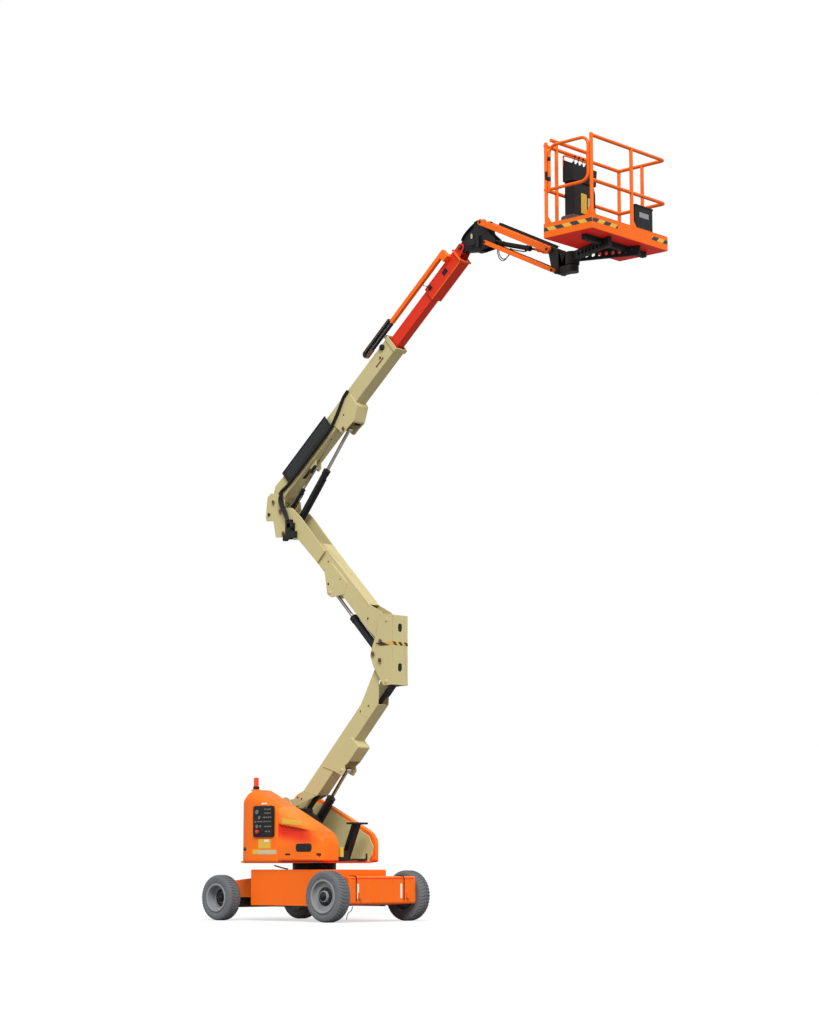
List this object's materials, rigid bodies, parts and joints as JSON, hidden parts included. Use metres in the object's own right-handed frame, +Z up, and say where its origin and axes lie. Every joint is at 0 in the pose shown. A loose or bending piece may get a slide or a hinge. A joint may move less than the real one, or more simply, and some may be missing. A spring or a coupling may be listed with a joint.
{
  "type": "articulating boom lift",
  "caption": "Self-propelled electric boom lift: slewing turntable, two-link tower, telescoping main boom, parallel jib and rotating guard-railed platform.",
  "frame": {"origin": "on the slew axis, in the plane of the flat chassis underside, 0.2 m above the floor", "axes": "+Z up along the slew axis, +X towards the drive axle, the end the boom reaches over in the rest pose, +Y to the machine's left when facing +X"},
  "size_m": [6.7185, 1.72, 9.6175],
  "materials": {
    "orange_paint": "gloss enamel",
    "red_paint": "gloss enamel",
    "cream_paint": "satin enamel",
    "black_paint": "satin enamel",
    "steel_paint": "satin enamel on the wheel rims",
    "tyre_rubber": "matt grey non-marking rubber",
    "rod_chrome": "polished",
    "lead_block": "painted casting",
    "battery_case": "matt moulded case",
    "lens_plastic": "moulded lens",
    "box_plastic": "matt moulded"
  },
  "bodies": {
    "root": {"chassis_frame": "orange_paint", "drive_axle": "orange_paint", "slew_ring": "black_paint", "steer_axle": "black_paint"},
    "drive_wheel_left": {"drive_tyre_left": "tyre_rubber", "drive_rim_left": "steel_paint"},
    "drive_wheel_right": {"drive_tyre_right": "tyre_rubber", "drive_rim_right": "steel_paint"},
    "steer_knuckle_left": {"steer_knuckle_left": "black_paint"},
    "steer_wheel_left": {"steer_tyre_left": "tyre_rubber", "steer_rim_left": "steel_paint"},
    "steer_knuckle_right": {"steer_knuckle_right": "black_paint"},
    "steer_wheel_right": {"steer_tyre_right": "tyre_rubber", "steer_rim_right": "steel_paint"},
    "tie_rod": {"tie_rod": "black_paint"},
    "turntable": {"turntable_frame": "cream_paint", "hood_left": "orange_paint", "hood_right": "orange_paint", "counterweight": "lead_block", "battery_pack": "battery_case", "pump_unit": "black_paint", "ground_control_panel": "box_plastic", "beacon": "lens_plastic", "boom_rest": "black_paint", "valve_tray": "box_plastic"},
    "lower_link": {"lower_link": "cream_paint"},
    "level_link": {"level_link": "black_paint"},
    "lower_lift_barrel": {"lower_lift_barrel": "black_paint"},
    "lower_lift_rod": {"lower_lift_rod": "rod_chrome"},
    "knuckle": {"knuckle": "cream_paint"},
    "upper_link": {"upper_link": "cream_paint"},
    "tower_lift_barrel": {"tower_lift_barrel": "black_paint"},
    "tower_lift_rod": {"tower_lift_rod": "rod_chrome"},
    "upright": {"upright": "cream_paint"},
    "main_boom": {"main_boom": "cream_paint", "boom_guard": "box_plastic"},
    "main_lift_barrel": {"main_lift_barrel": "black_paint"},
    "main_lift_rod": {"main_lift_rod": "rod_chrome"},
    "level_cylinder_barrel": {"level_cylinder_barrel": "black_paint"},
    "level_cylinder_rod": {"level_cylinder_rod": "rod_chrome"},
    "fly_boom": {"fly_boom": "red_paint", "cable_tray": "orange_paint", "energy_chain": "box_plastic"},
    "jib_bracket": {"jib_bracket": "black_paint"},
    "jib_upper_links": {"jib_upper_links": "orange_paint", "jib_cable_track": "box_plastic"},
    "jib_lower_links": {"jib_lower_links": "orange_paint"},
    "jib_lift_barrel": {"jib_lift_barrel": "black_paint", "jib_hose_near": "box_plastic", "jib_hose_far": "box_plastic"},
    "jib_lift_rod": {"jib_lift_rod": "rod_chrome"},
    "jib_front_bracket": {"jib_front_bracket": "black_paint"},
    "platform": {"platform_support": "black_paint", "platform_floor": "orange_paint", "guard_rails": "orange_paint", "control_console": "box_plastic", "document_box": "box_plastic"},
    "gate": {"gate": "orange_paint"}
  },
  "joints": [
    {"name": "drive_wheel_spin_left", "type": "hinge", "parent": "root", "child": "drive_wheel_left", "pos_m": [1, 0.755, 0.13], "axis": [0, 1, 0], "continuous": true},
    {"name": "drive_wheel_spin_right", "type": "hinge", "parent": "root", "child": "drive_wheel_right", "pos_m": [1, -0.755, 0.13], "axis": [0, 1, 0], "continuous": true},
    {"name": "steering", "type": "hinge", "parent": "root", "child": "steer_knuckle_left", "pos_m": [-1, 0.58, 0.1], "axis": [0, 0, 1], "range_deg": [-35, 35]},
    {"name": "steering_right", "type": "hinge", "parent": "root", "child": "steer_knuckle_right", "pos_m": [-1, -0.58, 0.1], "axis": [0, 0, 1], "range_deg": [-35, 35]},
    {"name": "steer_wheel_spin_left", "type": "hinge", "parent": "steer_knuckle_left", "child": "steer_wheel_left", "pos_m": [-1, 0.755, 0.1], "axis": [0, 1, 0], "continuous": true},
    {"name": "steer_wheel_spin_right", "type": "hinge", "parent": "steer_knuckle_right", "child": "steer_wheel_right", "pos_m": [-1, -0.755, 0.1], "axis": [0, 1, 0], "continuous": true},
    {"name": "tie_rod_pivot", "type": "hinge", "parent": "steer_knuckle_left", "child": "tie_rod", "pos_m": [-0.85, 0.58, -0.012], "axis": [0, 0, 1], "range_deg": [-35.5, 35.5]},
    {"name": "slew", "type": "hinge", "parent": "root", "child": "turntable", "pos_m": [0, 0, 0.554], "axis": [0, 0, 1], "range_deg": [-177.5, 177.5]},
    {"name": "tower_lift", "type": "hinge", "parent": "turntable", "child": "lower_link", "pos_m": [-0.42, 0, 1.34], "axis": [0, -1, 0], "range_deg": [-35.5, 28]},
    {"name": "level_link_pivot", "type": "hinge", "parent": "turntable", "child": "level_link", "pos_m": [-0.314, 0, 1.058], "axis": [0, -1, 0], "range_deg": [-36, 28.5]},
    {"name": "lower_cylinder_pivot", "type": "hinge", "parent": "turntable", "child": "lower_lift_barrel", "pos_m": [-0.15, 0, 0.85], "axis": [0, -1, 0], "range_deg": [-30.71, 24.22]},
    {"name": "lower_cylinder_stroke", "type": "slide", "parent": "lower_lift_barrel", "child": "lower_lift_rod", "axis": [0.6354, 0, 0.7722], "range_m": [-0.327, 0.258]},
    {"name": "knuckle_pivot", "type": "hinge", "parent": "lower_link", "child": "knuckle", "pos_m": [1.33995, 0, 3.17975], "axis": [0, -1, 0], "range_deg": [-28.5, 36]},
    {"name": "upper_link_pivot", "type": "hinge", "parent": "knuckle", "child": "upper_link", "pos_m": [1.34795, 0, 3.42875], "axis": [0, -1, 0], "range_deg": [-28.5, 36]},
    {"name": "tower_cylinder_pivot", "type": "hinge", "parent": "knuckle", "child": "tower_lift_barrel", "pos_m": [1.21495, 0, 3.27175], "axis": [0, -1, 0], "range_deg": [-28.38, 35.98]},
    {"name": "tower_cylinder_stroke", "type": "slide", "parent": "tower_lift_barrel", "child": "tower_lift_rod", "axis": [-0.6917, 0, 0.7222], "range_m": [-0.126, 0.1]},
    {"name": "upright_pivot", "type": "hinge", "parent": "upper_link", "child": "upright", "pos_m": [-0.52388, 0, 5.33554], "axis": [0, -1, 0], "range_deg": [-36, 28.5]},
    {"name": "main_boom_lift", "type": "hinge", "parent": "upright", "child": "main_boom", "pos_m": [-0.65988, 0, 5.47754], "axis": [0, 1, 0], "range_deg": [-34.5, 55.5]},
    {"name": "main_cylinder_pivot", "type": "hinge", "parent": "upright", "child": "main_lift_barrel", "pos_m": [-0.46188, 0, 5.02354], "axis": [0, 1, 0], "range_deg": [-32.26, 51.89]},
    {"name": "main_cylinder_stroke", "type": "slide", "parent": "main_lift_barrel", "child": "main_lift_rod", "axis": [0.6311, 0, 0.7757], "range_m": [-0.418, 0.261]},
    {"name": "level_cylinder_pivot", "type": "hinge", "parent": "upright", "child": "level_cylinder_barrel", "pos_m": [-0.52388, 0, 5.33554], "axis": [0, 1, 0], "range_deg": [-36.89, 59.34]},
    {"name": "level_cylinder_stroke", "type": "slide", "parent": "level_cylinder_barrel", "child": "level_cylinder_rod", "axis": [0.684, 0, 0.7294], "range_m": [-0.17, 0.107]},
    {"name": "telescope", "type": "slide", "parent": "main_boom", "child": "fly_boom", "axis": [0.7604, 0, 0.6494], "range_m": [-0.8, 0.55]},
    {"name": "jib_bracket_level", "type": "hinge", "parent": "fly_boom", "child": "jib_bracket", "pos_m": [2.69802, 0, 8.498], "axis": [0, 1, 0], "range_deg": [-56, 35]},
    {"name": "jib_lift", "type": "hinge", "parent": "jib_bracket", "child": "jib_upper_links", "pos_m": [3.08302, 0, 8.759], "axis": [0, -1, 0], "range_deg": [-33.3, 110.7]},
    {"name": "jib_lower_pivot", "type": "hinge", "parent": "jib_bracket", "child": "jib_lower_links", "pos_m": [3.15902, 0, 8.476], "axis": [0, -1, 0], "range_deg": [-33.8, 111.2]},
    {"name": "jib_front_pivot", "type": "hinge", "parent": "jib_upper_links", "child": "jib_front_bracket", "pos_m": [4.19348, 0, 8.2005], "axis": [0, -1, 0], "range_deg": [-111.2, 33.8]},
    {"name": "jib_cylinder_pivot", "type": "hinge", "parent": "jib_bracket", "child": "jib_lift_barrel", "pos_m": [3.24802, 0, 8.478], "axis": [0, -1, 0], "range_deg": [-34.99, 116.31]},
    {"name": "jib_cylinder_stroke", "type": "slide", "parent": "jib_lift_barrel", "child": "jib_lift_rod", "axis": [0.9539, 0, -0.3], "range_m": [-0.128, 0.418]},
    {"name": "platform_rotate", "type": "hinge", "parent": "jib_front_bracket", "child": "platform", "pos_m": [4.49848, 0, 8.0005], "axis": [0, 0, 1], "range_deg": [-90, 90]},
    {"name": "gate_swing", "type": "hinge", "parent": "platform", "child": "gate", "pos_m": [4.72948, -0.734, 8.9285], "axis": [0, 0, 1], "range_deg": [0, 54]}
  ],
  "couplings": [
    {"joint": "steering_right", "follows": "steering", "ratio": 1},
    {"joint": "tie_rod_pivot", "follows": "steering", "ratio": -1},
    {"joint": "level_link_pivot", "follows": "tower_lift", "ratio": 1},
    {"joint": "lower_cylinder_pivot", "follows": "tower_lift", "ratio": 0.8478},
    {"joint": "lower_cylinder_stroke", "follows": "tower_lift", "m_per_rad": 0.5228},
    {"joint": "knuckle_pivot", "follows": "tower_lift", "ratio": -1},
    {"joint": "upper_link_pivot", "follows": "tower_lift", "ratio": -1},
    {"joint": "tower_cylinder_pivot", "follows": "tower_lift", "ratio": -0.9935},
    {"joint": "tower_cylinder_stroke", "follows": "tower_lift", "m_per_rad": 0.1981},
    {"joint": "upright_pivot", "follows": "tower_lift", "ratio": 1},
    {"joint": "main_cylinder_pivot", "follows": "main_boom_lift", "ratio": 0.9165},
    {"joint": "main_cylinder_stroke", "follows": "main_boom_lift", "m_per_rad": -0.4285},
    {"joint": "level_cylinder_pivot", "follows": "main_boom_lift", "ratio": 1.048},
    {"joint": "level_cylinder_stroke", "follows": "main_boom_lift", "m_per_rad": -0.1719},
    {"joint": "jib_bracket_level", "follows": "main_boom_lift", "ratio": -1},
    {"joint": "jib_lower_pivot", "follows": "jib_lift", "ratio": 1},
    {"joint": "jib_front_pivot", "follows": "jib_lift", "ratio": -1},
    {"joint": "jib_cylinder_pivot", "follows": "jib_lift", "ratio": 1.03},
    {"joint": "jib_cylinder_stroke", "follows": "jib_lift", "m_per_rad": 0.2149}
  ]
}
